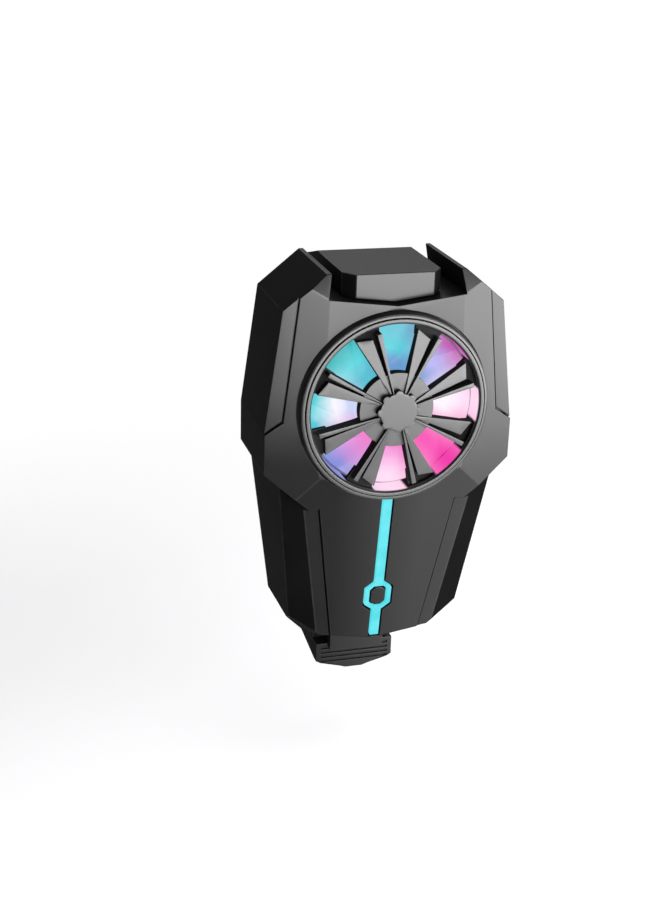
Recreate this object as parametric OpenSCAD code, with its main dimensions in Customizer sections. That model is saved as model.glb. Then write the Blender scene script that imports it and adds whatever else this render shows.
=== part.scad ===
// Clip-on cooling fan for a phone: a faceted black body with a raised turbine grille,
// a lit fan behind it, a glowing strip, a fixed upper hook and a sprung lower jaw.
// The front faces -Y, the phone lies against the pads on the +Y side, +Z is up.
// The origin is where the fan axis meets the plane of the phone's back.

/* [Body] */
// Depth of the body from its flat front to its back edge
body_d = 21; // [20:0.5:24]
// Wall of the front cover
wall = 1.6; // [1.2:0.1:1.8]
// Thickness of the rear cover
cover_t = 1.6; // [1.4:0.1:2]
// Gap round a piece that is set into another
fit = 0.15; // [0.1:0.05:0.25]
// Half width between the tips of the two horns
horn_x = 12; // [11.6:0.1:12.4]
// Height of the horn tips above the fan axis
horn_z = 24.9; // [24.6:0.1:27]
// Width of the flat on a horn's tip
horn_flat = 0.9; // [0.6:0.1:1.4]
// Half width of the notch floor
notch_x = 12.8; // [12.4:0.1:13.2]
// Height of the ends of the notch floor
notch_z = 20.5; // [20.2:0.1:21]
// Height of the middle of the notch floor
vee_z = 18.9; // [18.8:0.1:19.6]
// Half width at the shoulders
shoulder_x = 20.7; // [20:0.1:22]
// Height of the shoulders
shoulder_z = 18.5; // [17.5:0.1:19]
// Half width at the widest place
wide_x = 23.7; // [23:0.1:25]
// Top of the widest stretch
wide_top_z = -4.1; // [-6:0.1:0]
// Bottom of the widest stretch
wide_low_z = -12.1; // [-13:0.1:-10]
// Half width of the front at the waist
waist_x = 15.1; // [14.4:0.1:16]
// Height of the waist
waist_z = -19.6; // [-21:0.1:-19]
// Half width of the lower body at its top, at the front and inside the upper body
hip_x = 21.7; // [21.3:0.1:22]
// Half width of the lower body at the foot corners of its front
foot_x = 17.2; // [16.8:0.1:18]
// Widening of the lower body from its front to its back
flare = 0.7; // [0.4:0.1:1]
// Height of the foot corners
foot_z = -44.2; // [-45:0.1:-43.5]
// Half width of the bottom edge
toe_x = 11; // [10.6:0.1:12]
// Height at which the foot corners would meet the bottom edge
toe_z = -52; // [-53:0.1:-51.5]
// Fall of the trimmed lower corners, for each millimetre from the front to the back
toe_fall = 0.6; // [0.55:0.05:0.8]

/* [Front facets] */
// Half width of the flat front at the notch
fold_top_x = 12.5; // [12:0.1:13]
// Half width of the flat front at the fold of the lower panel
fold_low_x = 13.6; // [13:0.1:14.5]
// Fall of the side facets at the shoulders
side_drop = 1.3; // [0.8:0.1:1.8]
// Fall of the horns behind the flat front
horn_drop = 1.2; // [0.6:0.1:1.6]
// Height at which the lower panel starts to lean back
fold_z = -13; // [-14:0.1:-12]
// Half width of the lower panel at its foot
panel_x = 10.7; // [10.2:0.1:11.4]
// Height of the corners of the lower panel's foot
panel_z = -48.4; // [-49:0.1:-48]
// Fall of the lower panel at its foot
panel_drop = 5.8; // [5:0.1:6.5]
// Fall of the side bevels at the foot corners
bevel_drop = 7.5; // [7:0.1:9]
// Height of the keel point of the lower panel
keel_z = -50.2; // [-51:0.1:-49.8]
// Fall of the bottom from the front edge to the back edge
keel_fall = 3.8; // [3:0.1:5]
// Step from the middle of the front down to its outer strips
step_t = 0.4; // [0.2:0.05:0.5]
// Width of the fine line at the foot of the step
groove_w = 0.2; // [0.15:0.05:0.4]
// Depth of the fine line below the outer strips
groove_t = 0.45; // [0.3:0.05:0.6]

/* [Grille] */
// Outer radius of the collar at the body
collar_r = 17.9; // [17.6:0.1:18.2]
// Width of the collar from its foot to the throat of the grille
collar_w = 2; // [1.9:0.05:2.2]
// Width of the collar's outer slope
slope_w = 0.25; // [0.2:0.05:0.3]
// Width of each of the collar's two bands
band_w = 0.6; // [0.5:0.05:0.65]
// Width of the groove between the bands
band_gap = 0.2; // [0.15:0.05:0.25]
// Depth of the groove between the bands
band_t = 0.6; // [0.4:0.1:0.8]
// Wall of the ring's skirt
skirt_t = 0.9; // [0.8:0.1:1]
// Depth of the skirt behind the flat front
skirt_d = 3; // [2.6:0.1:3.4]
// Depth of the recess that holds the collar
recess_d = 0.8; // [0.6:0.1:1]
// Rise of the collar's inner band above the flat front
rim_rise = 1.5; // [1.2:0.1:1.8]
// Number of spokes
spokes = 8; // [6:1:9]
// Radius of the middle disc
disc_r = 7; // [6.6:0.1:7.4]
// Rise of the middle disc
disc_rise = 1.6; // [1.4:0.1:1.8]
// Radius of the hub across its lobes
hub_r = 4; // [3.6:0.1:4.4]
// Rise of the hub
hub_rise = 2.9; // [2.6:0.1:3.2]
// Gap between the leading tip corner of a spoke and the throat
tip_gap = 0.7; // [0.5:0.05:1]
// Rise of the spokes at their tips
tip_rise = 1.1; // [0.9:0.1:1.3]
// Height of the rib above a spoke's face
rib_rise = 0.9; // [0.5:0.1:1.1]

/* [Fan] */
// Number of fan blades
blades = 13; // [11:1:13]
// Gap between the blade tips and the throat
blade_gap = 0.5; // [0.4:0.05:0.8]
// Depth of the blades' front edge behind the flat front
blade_d = 1.5; // [1.5:0.1:2]
// Height of the blades along the axis
blade_h = 5.4; // [5:0.1:6]
// Thickness of a blade
blade_t = 0.8; // [0.7:0.1:1]
// Radius of the fan's hub
rotor_r = 7; // [6.8:0.1:7.2]
// Length of the fan's hub along the axis
rotor_h = 10.6; // [10:0.1:11]
// Radius of the shaft
shaft_r = 0.75; // [0.7:0.05:0.9]
// Radial running clearance of the shaft
run = 0.04; // [0.02:0.01:0.08]
// Outer radius of the bearing bush
bush_r = 1.6; // [1.5:0.05:1.7]
// Radius of the post that carries the bush and the stator
post_r = 2.2; // [2.1:0.05:2.3]
// Radius of the motor board
board_r = 8.6; // [8.5:0.1:8.8]
// Thickness of the circuit boards
board_t = 0.8; // [0.6:0.1:1]
// Side of the light chips
led_w = 1.3; // [1:0.1:1.4]
// Height of the light chips
led_h = 0.7; // [0.5:0.1:0.8]

/* [Light strip] */
// Width of the strip
strip_w = 1.75; // [1.4:0.05:2.2]
// Thickness of the strip
strip_t = 1; // [0.8:0.1:1.1]
// Dark gap round the strip
strip_gap = 0.3; // [0.2:0.05:0.35]
// Top of the strip along the panel, below the panel's fold
strip_top = 5.7; // [5.5:0.1:6.5]
// Distance from the strip's foot to the point of the lower panel
strip_margin = 0.7; // [0.5:0.1:2]
// Middle of the eye along the panel, below the panel's fold
eye_at = 27.7; // [24:0.1:29]
// Half width of the eye
eye_x = 2.6; // [2.3:0.1:3]
// Half height of the eye
eye_z = 3.15; // [2.8:0.1:3.6]
// Width of the eye's band
eye_band = 0.85; // [0.7:0.05:1]
// Height of the eye's outer corners
eye_c = 1.35; // [1.1:0.05:1.6]
// Height of the corners inside the eye
hole_c = 0.8; // [0.6:0.05:0.9]

/* [Clamp] */
// Thickness of the pads against the phone's back
seat_t = 2; // [1.5:0.1:3]
// Half width of the long seat pads
pad_x = 2; // [1.5:0.1:2.4]
// Half height of the upper seat pads
pad_top_z = 6; // [4:0.1:7]
// Half height of the lower seat pads
pad_low_z = 7.2; // [6:0.1:7.4]
// Thickest phone that the hook and the jaw go round
phone_t = 9.2; // [8:0.1:12]
// Height of the phone's upper edge above the fan axis
phone_top_z = 17; // [16.5:0.1:17.5]
// Height of the phone's lower edge with the jaw closed
phone_low_z = -52.5; // [-53.5:0.1:-52]
// Thickness of the soft lining of the hook and the jaw
lining_t = 0.9; // [0.6:0.1:1.2]
// Thickness of the two lips in front of the screen
lip_t = 2; // [1.6:0.1:2.6]
// Reach of the lips over the screen
lip_reach = 6.5; // [5:0.1:8]
// Depth of the hook's front behind the flat front
hook_d = 2.1; // [1.6:0.1:2.6]
// Half width of the hook's front face
hook_x = 7.3; // [6.8:0.1:7.8]
// Half width of the hook
hook_w = 9.3; // [9:0.1:9.6]
// Height of the hook's top
hook_z = 24.3; // [23.8:0.1:24.8]
// Half width of the jaw
jaw_x = 8.1; // [7.6:0.1:8.6]
// Height of the top of the finger grip with the jaw closed
grip_z = -57.4; // [-58:0.1:-57]
// Height of the finger grip at its sides
grip_h = 4; // [3.6:0.1:5]
// Further height of the grip at its middle
grip_vee = 2; // [1.5:0.1:2.5]
// Depth of the grip's face behind the tongue's face
grip_back = 1.4; // [0.5:0.1:1.6]
// Half width of the jaw's tongue
tongue_x = 5.6; // [5:0.1:6]
// Thickness of the jaw's tongue
tongue_t = 2.1; // [1.8:0.1:2.4]
// Travel of the jaw
jaw_travel = 18.5; // [16:0.5:18.5]
// Half distance between the guide rods
rod_x = 9; // [8.8:0.1:9.2]
// Radius of the guide rods
rod_r = 0.9; // [0.8:0.05:1]
// Radius of the springs at the middle of the wire
coil_r = 1.75; // [1.65:0.05:1.85]
// Radius of the spring wire
wire_r = 0.25; // [0.2:0.01:0.28]
// Turns of a spring
coil_n = 8; // [6:1:8]

/* [Fasteners and socket] */
// Radius of a case screw's shank
screw_r = 0.85; // [0.7:0.05:0.95]
// Radius of a case screw's head
head_r = 1.6; // [1.5:0.05:1.7]
// Height of a screw head
head_h = 0.9; // [0.8:0.05:1]
// Wall of a screw boss
boss_t = 1.1; // [0.9:0.1:1.2]
// Width of the power socket
socket_w = 8.94; // [8.8:0.02:9.1]
// Height of the power socket
socket_h = 3.2; // [3.1:0.02:3.4]
// Length of the power socket
socket_l = 6.5; // [6:0.1:7]
// Height of the power socket's middle
socket_z = -29; // [-30:0.1:-28]

/* [Hidden] */
$fn = 64;
far = 160;
eps = 0.01;
// Depths are counted from the flat front towards the phone
cover_d = body_d - cover_t;
seat_d = body_d + seat_t;
lip_in_d = seat_d + phone_t + lining_t;
lip_out_d = lip_in_d + lip_t;
lean = panel_drop / (fold_z - panel_z);
lean_a = atan(lean);
strip_foot = (fold_z - keel_z) / cos(lean_a) - strip_margin;
rim_r = collar_r - slope_w;
throat_r = collar_r - collar_w;
skirt_r = throat_r + skirt_t;
tip_r = throat_r - tip_gap;
blade_r = throat_r - blade_gap;
pitch_a = 360 / spokes;
// Angles of a spoke's edges from the middle of the gap that it follows
tip_lead = -0.3 * pitch_a;
tip_trail = -0.55 * pitch_a;
rib_lead = -0.625 * pitch_a;
rib_trail = -0.7 * pitch_a;
spoke_floor = 0.4;
shelf_d = 1.2;
disc_floor = 0.4;
// The motor, from its front to its back
yoke_d = blade_d + 1.2;
yoke_t = 0.6;
yoke_r = rotor_r - 0.45;
rotor_back = blade_d + rotor_h;
magnet_t = 0.95;
magnet_r = yoke_r - yoke_t - 0.05;
core_r = magnet_r - magnet_t - 0.3;
core_d = yoke_d + 3.2;
core_h = 4;
coil_h = 6.4;
post_d = yoke_d + yoke_t + 1.3;
board_d = cover_d - 3;
clip_d = cover_d - 2.4;
tail_d = cover_d - 1;
outlet_r = throat_r - 0.6;
hub_back_r = board_r + 0.4;
// The jaw and its guides
tongue_back = cover_d - 2 * fit;
tongue_d = tongue_back - tongue_t;
rod_d = tongue_d - 2.7;
arm_r = rod_r + 1.3;
ear_t = 2.2;
ear_top_z = -sqrt(pow(skirt_r + 1.1, 2) - pow(rod_x - arm_r, 2));
stop_gap = 0.3;
arm_top_z = ear_top_z - ear_t - stop_gap;
arm_h = 3.5;
spring_top_z = arm_top_z - arm_h - stop_gap;
spring_foot_z = arm_top_z - arm_h - jaw_travel - (coil_n + 1) * 2 * wire_r;
shelf_z = phone_low_z - lining_t;
jaw_gap = 0.6;
slot_x = tongue_x + 2 * fit;
// Places of the case screws, as x and z
screw_at = [[17, 15.8], [-17, 15.8], [14.2, -40], [-14.2, -40]];
screw_l = 7;
hook_screw_x = 5;
hook_screw_d = 11;
socket_t = 0.3;
hip_z = wide_low_z + 2.8;
stand_h = 1.8;
power_board_d = cover_d - stand_h - board_t;
power_board_rim = 2.5;
side_grow = flare / (body_d - bevel_drop);
socket_x = foot_x + (hip_x - foot_x) * (socket_z - foot_z) / (hip_z - foot_z)
    + side_grow * (power_board_d - socket_h / 2 - bevel_drop) - 0.9;
strip_board_w = 4;
pole_w = 1.2;

// A right half outline completed by its mirror image
function mirrored(p) = concat(p, [for (i = [len(p) - 1:-1:0]) if (p[i].x > eps) [-p[i].x, p[i].y]]);
function inward(a, b) = let (u = (b - a) / norm(b - a)) [u.y, -u.x];
// A clockwise outline moved inwards by t
function inset(p, t) = [for (i = [0:len(p) - 1])
    let (n = len(p), a = p[(i + n - 1) % n], b = p[i], c = p[(i + 1) % n],
         u = inward(a, b), v = inward(b, c)) b + t * (u + v) / (1 + u * v)];
// A bar of width w from a to b
function bar(a, b, w) = let (u = (b - a) / norm(b - a), n = [-u.y, u.x] * w / 2, e = u * w / 2)
    [a + n - e, b + n + e, b - n + e, a - n - e];
function polar(r, a) = [r * cos(a), r * sin(a)];
function facing(n) = n.y > 0 ? -n : n;
function plane_of(a, b, c) = facing(cross(b - a, c - a));
// Where the line through a and b meets the line through c and d
function meet(a, b, c, d) = let (u = b - a, v = d - c)
    a + u * ((c.x - a.x) * v.y - (c.y - a.y) * v.x) / (u.x * v.y - u.y * v.x);
// The horns run up to a point, which is cut flat at horn_z
function upper_outline() = mirrored([[0, vee_z], [notch_x, notch_z],
    meet([notch_x, notch_z], [horn_x, horn_z], [shoulder_x, shoulder_z], [horn_x + horn_flat, horn_z]),
    [shoulder_x, shoulder_z], [wide_x, wide_top_z], [wide_x, wide_low_z], [waist_x, waist_z]]);
// It reaches past the sides of the lower body, which are cut from it
function lower_outline() = let (foot = [foot_x + flare, foot_z], low = [toe_x, toe_z])
    mirrored([[hip_x + 2 * flare, hip_z], foot + 0.1 * (foot - low), low]);
// Depth of the leaning lower panel at height z
function panel_d(z) = lean * (fold_z - z);

// Pieces are placed by their depth from the flat front
module placed() { translate([0, -seat_d, 0]) children(); }
module both_sides() {
    children();
    mirror([1, 0, 0]) children();
}
// An outline in X and Z, from depth a to depth b
module slab(a, b) { translate([0, b, 0]) rotate([90, 0, 0]) linear_extrude(b - a) children(); }
// An outline in depth and Z, from -w to w
module across(w) {
    rotate([90, 0, 90]) translate([0, 0, -w]) linear_extrude(2 * w) children();
}
// A profile in radius and depth turned round the fan axis
module turned() { rotate([-90, 0, 0]) rotate_extrude() children(); }
module drum(r, a, b) { translate([0, a, 0]) rotate([-90, 0, 0]) cylinder(r = r, h = b - a); }
module tube(r1, r2, a, b) {
    difference() {
        drum(r2, a, b);
        drum(r1, a - 1, b + 1);
    }
}
module spun(a) { rotate([0, -a, 0]) children(); }
module at(p) { translate([p.x, 0, p.y]) children(); }
// All that lies outside the plane through p, which is first moved inwards by t
module beyond(p, n, t) {
    u = n / norm(n);
    translate(p - t * u) rotate([0, acos(u.z), atan2(u.y, u.x)])
        translate([-far / 2, -far / 2, 0]) cube(far);
}
// The frame of the leaning panel: z runs down from the fold, depth is square to the panel
module on_panel() { translate([0, 0, fold_z]) rotate([lean_a, 0, 0]) children(); }

module side_facet(t) {
    a = [fold_top_x, 0, notch_z];
    beyond(a, plane_of(a, [fold_low_x, 0, fold_z], [shoulder_x, side_drop, shoulder_z]), t);
}
module side_bevel(t) {
    a = [waist_x, panel_d(waist_z), waist_z];
    beyond(a, plane_of(a, [panel_x, panel_drop, panel_z], [foot_x, bevel_drop, foot_z]), t);
}
// The sides of the lower body widen towards the back
module side_wall(t) {
    a = [foot_x, bevel_drop, foot_z];
    beyond(a, cross([0, 1, 0] + side_grow * [1, 0, 0], [hip_x - foot_x, 0, hip_z - foot_z]), t);
}
// The lower corners are trimmed from the foot of the panel to the foot corners
module toe(t) {
    a = [panel_x, panel_drop, panel_z];
    beyond(a, cross([0, 1, -toe_fall], [foot_x, bevel_drop, foot_z] - a), t);
}
module keel(t) {
    a = [0, panel_d(keel_z), keel_z];
    n = cross([panel_x, panel_drop - a.y, panel_z - a.z], [0, body_d - a.y, -keel_fall]);
    beyond(a, n.z > 0 ? -n : n, t);
}
// The outer form of the body, moved inwards by t and then open at the back
module form(t) {
    back = body_d + (t > 0 ? 1 : 0);
    difference() {
        union() {
            slab(t, back) polygon(inset(upper_outline(), t));
            difference() {
                slab(t, back) polygon(inset(lower_outline(), t));
                both_sides() {
                    side_bevel(t);
                    side_wall(t);
                    toe(t);
                }
            }
        }
        both_sides() side_facet(t);
        panel_plane(t);
        beyond([0, 0, notch_z], [0, -1, horn_drop / (horn_z - notch_z)], t);
        both_sides() keel(t);
        beyond([0, 0, horn_z], [0, 0, 1], t);
    }
}
module panel_plane(t) { beyond([0, 0, fold_z], [0, -1, -lean], t); }
// The outer strips of the front lie a step lower than its middle, with a fine line along the step
module outer_strips() {
    low = [wide_x - 3.2, wide_top_z + 2.1];
    top = low + 1.02 * ([shoulder_x - 2.8, shoulder_z + 2.4] - low);
    edge = [wide_x + 0.2, wide_top_z - 0.35];
    waist = [waist_x - 1.8, waist_z];
    foot = [panel_x - 1.9, panel_z - 2];
    out = wide_x + 2;
    both_sides() {
        intersection() {
            slab(-1, body_d / 2) polygon([top, [out, top.y], [out, edge.y], edge, low]);
            side_facet(step_t);
        }
        intersection() {
            slab(-1, body_d / 2) {
                polygon(bar(low, top, groove_w));
                polygon(bar(low, edge, groove_w));
            }
            side_facet(step_t + groove_t);
        }
        intersection() {
            slab(-1, body_d / 2) polygon([waist, [out, waist.y], [out, foot.y], foot]);
            panel_plane(step_t);
        }
        intersection() {
            slab(-1, body_d / 2) polygon(bar(waist, foot, groove_w));
            panel_plane(step_t + groove_t);
        }
    }
}
// The outline of the glowing strip, grown by g
module strip_shape(g) {
    x = eye_x + g;
    z = eye_z + g;
    w = strip_w / 2 + g;
    hole_x = eye_x - eye_band - g;
    hole_z = eye_z - eye_band - g;
    translate([-w, -strip_foot - g]) square([2 * w, strip_foot - eye_at - eye_z + 0.6 + g]);
    translate([-w, -eye_at + eye_z - 0.6]) square([2 * w, eye_at - eye_z + 0.6 - strip_top + g]);
    translate([0, -eye_at]) difference() {
        polygon(mirrored([[w, z], [x, z - eye_c], [x, eye_c - z], [w, -z]]));
        polygon(mirrored([[hole_x - hole_c, hole_z], [hole_x, hole_z - hole_c],
                          [hole_x, hole_c - hole_z], [hole_x - hole_c, -hole_z]]));
    }
}
peg_at = [strip_top + 4, strip_foot - 3];
peg_r = 0.6;

module front_cover() {
    color("#2b2b2d") placed() difference() {
        union() {
            difference() {
                form(0);
                form(wall);
            }
            intersection() {
                form(0);
                for (p = screw_at) at(p) drum(screw_r + fit / 3 + boss_t, 0, cover_d);
            }
        }
        drum(collar_r + fit, -1, recess_d);
        drum(skirt_r + fit, -1, skirt_d + wall);
        for (p = screw_at) at(p) drum(screw_r + fit / 3, cover_d - screw_l - 1, cover_d + 1);
        both_sides() translate([hook_screw_x, hook_screw_d, vee_z - wall - 2])
            cylinder(r = screw_r + fit, h = wall + 6);
        translate([-slot_x, tongue_d - 2 * fit, -far]) cube([2 * slot_x, tongue_t + 4 * fit, far + foot_z]);
        translate([socket_x - socket_l, power_board_d - socket_h / 2, socket_z]) socket_hole(fit, far);
        outer_strips();
        on_panel() slab(-1, strip_t) strip_shape(strip_gap);
        on_panel() for (z = peg_at) at([0, -z]) drum(peg_r + fit / 2, 0, wall + 1);
    }
}

// The grille: a stepped collar, a middle disc with a lobed hub, and spokes that widen to their tips
module spoke() {
    cone_top = disc_rise + 0.9;
    root_r = hub_r - 0.6;
    intersection() {
        slab(-hub_rise, spoke_floor) polygon([polar(root_r, tip_trail + 5), polar(tip_r, tip_lead),
            polar(tip_r - 1.1, tip_trail), polar(root_r, tip_trail)]);
        turned() polygon([[0, -cone_top], [tip_r, -tip_rise], [tip_r, spoke_floor], [0, spoke_floor]]);
    }
    intersection() {
        slab(-hub_rise - rib_rise, spoke_floor) polygon([polar(root_r, rib_lead + 1.5),
            polar(tip_r - 0.2, rib_lead), polar(tip_r - 0.2, rib_trail), polar(root_r, rib_trail + 1)]);
        turned() polygon([[0, -cone_top - 0.2], [tip_r, -tip_rise - rib_rise], [tip_r, spoke_floor],
            [0, spoke_floor]]);
    }
    slab(spoke_floor - 0.3, shelf_d) polygon([polar(tip_r - 2.2, rib_trail),
        polar(skirt_r - 0.3, rib_trail - 1), polar(skirt_r - 0.3, tip_lead + 1),
        polar(tip_r - 1.4, tip_lead - 1)]);
    slab(spoke_floor - 0.3, shelf_d) polygon([polar(root_r, tip_trail + 1),
        polar(tip_r - 1, tip_trail + 0.5), polar(tip_r - 0.3, rib_lead - 0.5), polar(root_r, rib_lead - 1)]);
}
module fan_grille() {
    top = rim_rise;
    side = top - 0.35;
    groove_r = rim_r - band_w;
    crest_r = groove_r - band_gap;
    color("#3a3a3c") placed() {
        turned() polygon([[throat_r, skirt_d], [skirt_r, skirt_d], [skirt_r, recess_d],
            [collar_r, recess_d], [collar_r, 0.2], [rim_r, -side], [groove_r, -side - 0.15],
            [groove_r, -side + band_t], [crest_r, -side + band_t],
            [crest_r, -top], [crest_r - band_w, -top], [throat_r, -top + 0.5]]);
        drum(disc_r, -disc_rise, disc_floor);
        drum(hub_r - 0.5, -hub_rise, -disc_rise + eps);
        for (k = [0:spokes - 1]) {
            spun(k * pitch_a) spoke();
            spun(k * pitch_a) translate([hub_r - 0.75, 0, 0]) drum(0.75, -hub_rise, -disc_rise + eps);
        }
    }
}
module light_duct() {
    color("#dfe9ee") placed() tube(throat_r, skirt_r - 0.1, skirt_d + fit, cover_d);
}

// A blade is a bowed sheet set at a slant, cut to the fan's circle
module blade() {
    w = 5.3;
    sag = 1.1;
    chord = norm([2 * w, blade_h - blade_t]);
    bow = (chord * chord / 4 + sag * sag) / (2 * sag);
    tilt = atan2(blade_h - blade_t, 2 * w);
    intersection() {
        translate([0, blade_d + blade_h / 2, 0]) rotate([tilt, 0, 0])
            translate([0, bow - sag / 2, 0]) rotate([0, 90, 0]) difference() {
                cylinder(r = bow + blade_t / 2, h = blade_r + 2);
                translate([0, 0, -1]) cylinder(r = bow - blade_t / 2, h = blade_r + 4);
            }
        difference() {
            drum(blade_r, blade_d, blade_d + blade_h);
            drum(rotor_r - 0.2, 0, cover_d);
        }
    }
}
module fan_blades() {
    color("#cfeaf2") placed() {
        turned() polygon([[shaft_r + 0.1, blade_d], [rotor_r, blade_d], [rotor_r, rotor_back],
            [yoke_r + 0.03, rotor_back], [yoke_r + 0.03, yoke_d], [shaft_r + 0.1, yoke_d]]);
        for (k = [0:blades - 1]) spun(k * 360 / blades) blade();
    }
}
module rotor_yoke() {
    cup_r = yoke_r - yoke_t;
    stem_r = shaft_r + 0.7;
    color("silver") placed() turned() polygon([[shaft_r, yoke_d], [yoke_r, yoke_d],
        [yoke_r, rotor_back - 0.4], [cup_r, rotor_back - 0.4], [cup_r, yoke_d + yoke_t],
        [stem_r, yoke_d + yoke_t], [stem_r, post_d - 0.4], [shaft_r, post_d - 0.4]]);
}
module magnet_ring() {
    color("#4a4038") placed() tube(magnet_r - magnet_t, magnet_r, core_d - 1.4, core_d + core_h + 1.4);
}
module fan_shaft() {
    color("#c8ccd0") placed() difference() {
        drum(shaft_r, blade_d + 0.3, tail_d - 0.4);
        tube(shaft_r - 0.2, shaft_r + 1, clip_d, clip_d + 0.5);
    }
}
module shaft_clip() {
    color("#9aa0a6") placed() difference() {
        tube(shaft_r - 0.17, shaft_r + 0.75, clip_d + 0.05, clip_d + 0.45);
        translate([0, clip_d, 0]) cube([2, 2, 0.7]);
    }
}
module bearing_bush() {
    color("#b08d57") placed() tube(shaft_r + run, bush_r, post_d + 0.1, clip_d - 0.5);
}
module stator_core() {
    color("#7d8288") placed() {
        tube(post_r + 0.05, post_r + 0.8, core_d, core_d + core_h);
        for (a = [0:90:270]) spun(a) {
            translate([post_r + 0.4, core_d, -pole_w / 2]) cube([core_r - post_r - 0.7, core_h, pole_w]);
            intersection() {
                tube(core_r - 0.5, core_r, core_d, core_d + core_h);
                slab(0, cover_d) polygon([[0, 0], polar(2 * core_r, -32), polar(2 * core_r, 32)]);
            }
        }
    }
}
module stator_windings() {
    inner = post_r + 0.85;
    half_w = pole_w / 2 + 0.55;
    outer = sqrt(pow(core_r - 0.55, 2) - pow(half_w, 2));
    color("#b4652d") placed() for (a = [0:90:270]) spun(a) difference() {
        translate([inner, core_d + core_h / 2 - coil_h / 2, -half_w])
            cube([outer - inner, coil_h, 2 * half_w]);
        translate([inner - 1, core_d - 0.05, -pole_w / 2 - 0.05])
            cube([core_r, core_h + 0.1, pole_w + 0.1]);
    }
}
module motor_board() {
    color("#1f5b34") placed() tube(post_r + fit, board_r, board_d - board_t, board_d);
}
module rgb_leds() {
    color("#f4f4ee") placed() for (k = [0:spokes - 1]) spun(k * pitch_a)
        translate([board_r - 0.2 - led_w, board_d - board_t - led_h, -led_w / 2])
            cube([led_w, led_h, led_w]);
}

// The rear cover carries the motor post, the air outlet and the ears of the guide rods
module ear(z) {
    difference() {
        translate([rod_x - arm_r, rod_d - arm_r, z - ear_t])
            cube([2 * arm_r, cover_d - rod_d + arm_r + eps, ear_t]);
        translate([rod_x, rod_d, z - ear_t - 1]) cylinder(r = rod_r + 0.02, h = ear_t + 2);
    }
}
module rear_cover() {
    guard_r = (hub_back_r + outlet_r) / 2;
    color("#2b2b2d") placed() {
        difference() {
            intersection() {
                form(wall + fit);
                translate([-far / 2, cover_d, -far / 2]) cube([far, cover_t, far]);
            }
            drum(outlet_r, 0, far);
            for (p = screw_at) at(p) {
                drum(screw_r + fit, 0, far);
                drum(head_r + fit, body_d - head_h - 0.1, far);
            }
        }
        difference() {
            union() {
                drum(hub_back_r, cover_d, body_d);
                drum(board_r, board_d, cover_d + eps);
                drum(post_r, post_d, cover_d);
            }
            drum(bush_r, 0, clip_d - 0.4);
            drum(bush_r + 0.15, clip_d - 0.5, tail_d);
        }
        tube(guard_r - 0.5, guard_r + 0.5, cover_d, body_d);
        difference() {
            for (k = [0:5]) spun(k * 60 + 30) translate([hub_back_r - 0.5, cover_d, -0.8])
                cube([outlet_r - hub_back_r + 1, cover_t, 1.6]);
            drum(board_r, 0, cover_d);
        }
        both_sides() ear(ear_top_z);
        both_sides() ear(spring_foot_z);
        for (s = [-1, 1]) translate([socket_x - socket_l / 2, cover_d, socket_z + s * (socket_w / 2 + 1)])
            translate([-0.8, power_board_d + board_t - cover_d, -0.8])
                cube([1.6, cover_d - power_board_d - board_t + eps, 1.6]);
    }
}
module seat_pads() {
    color("#454548") placed() {
        drum(rotor_r - 0.5, body_d, seat_d);
        both_sides() {
            translate([wide_x - wall - fit - 2.4 - 2 * pad_x, body_d, 3 - pad_top_z])
                cube([2 * pad_x, seat_t, 2 * pad_top_z]);
            translate([foot_x - 3.3 - 2 * pad_x, body_d, (foot_z + waist_z) / 2 + 1 - pad_low_z])
                cube([2 * pad_x, seat_t, 2 * pad_low_z]);
        }
    }
}

// The power socket opens through the right side of the lower body
module stadium(g) {
    r = socket_h / 2 + g;
    square([socket_h + 2 * g, socket_w - socket_h], center = true);
    for (s = [-1, 1]) translate([0, s * (socket_w - socket_h) / 2]) circle(r);
}
module socket_hole(g, l) { rotate([90, 0, 90]) linear_extrude(l) stadium(g); }
module power_socket() {
    color("#b9bdc2") placed() translate([socket_x, power_board_d - socket_h / 2, socket_z]) {
        difference() {
            translate([-socket_l, 0, 0]) socket_hole(0, socket_l);
            translate([0.6 - socket_l, 0, 0]) socket_hole(-socket_t, socket_l);
        }
        translate([0.5 - socket_l, -0.35, -socket_w / 2 + 1.2]) cube([socket_l - 1, 0.7, socket_w - 2.4]);
    }
}
module power_board() {
    half_z = socket_w / 2 + power_board_rim;
    color("#1f5b34") placed() translate([socket_x - socket_l - fit, power_board_d, socket_z - half_z])
        cube([socket_l - wall - fit, board_t, 2 * half_z]);
}

module light_strip() {
    color("#7df5fa") placed() on_panel() {
        slab(0, strip_t - fit / 2) strip_shape(0);
        for (z = peg_at) at([0, -z]) drum(peg_r, strip_t - fit, wall + fit);
    }
}
module strip_board() {
    color("#1f5b34") placed() on_panel() slab(wall + fit + led_h, wall + fit + led_h + board_t)
        translate([-strip_board_w / 2, -strip_foot + 1])
            square([strip_board_w, strip_foot - strip_top - 2]);
}
module strip_leds() {
    color("#f4f4ee") placed() on_panel() for (z = peg_at)
        translate([-led_w / 2, wall + fit + 0.02, -z - led_w / 2]) cube([led_w, led_h - 0.02, led_w]);
}

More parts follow.
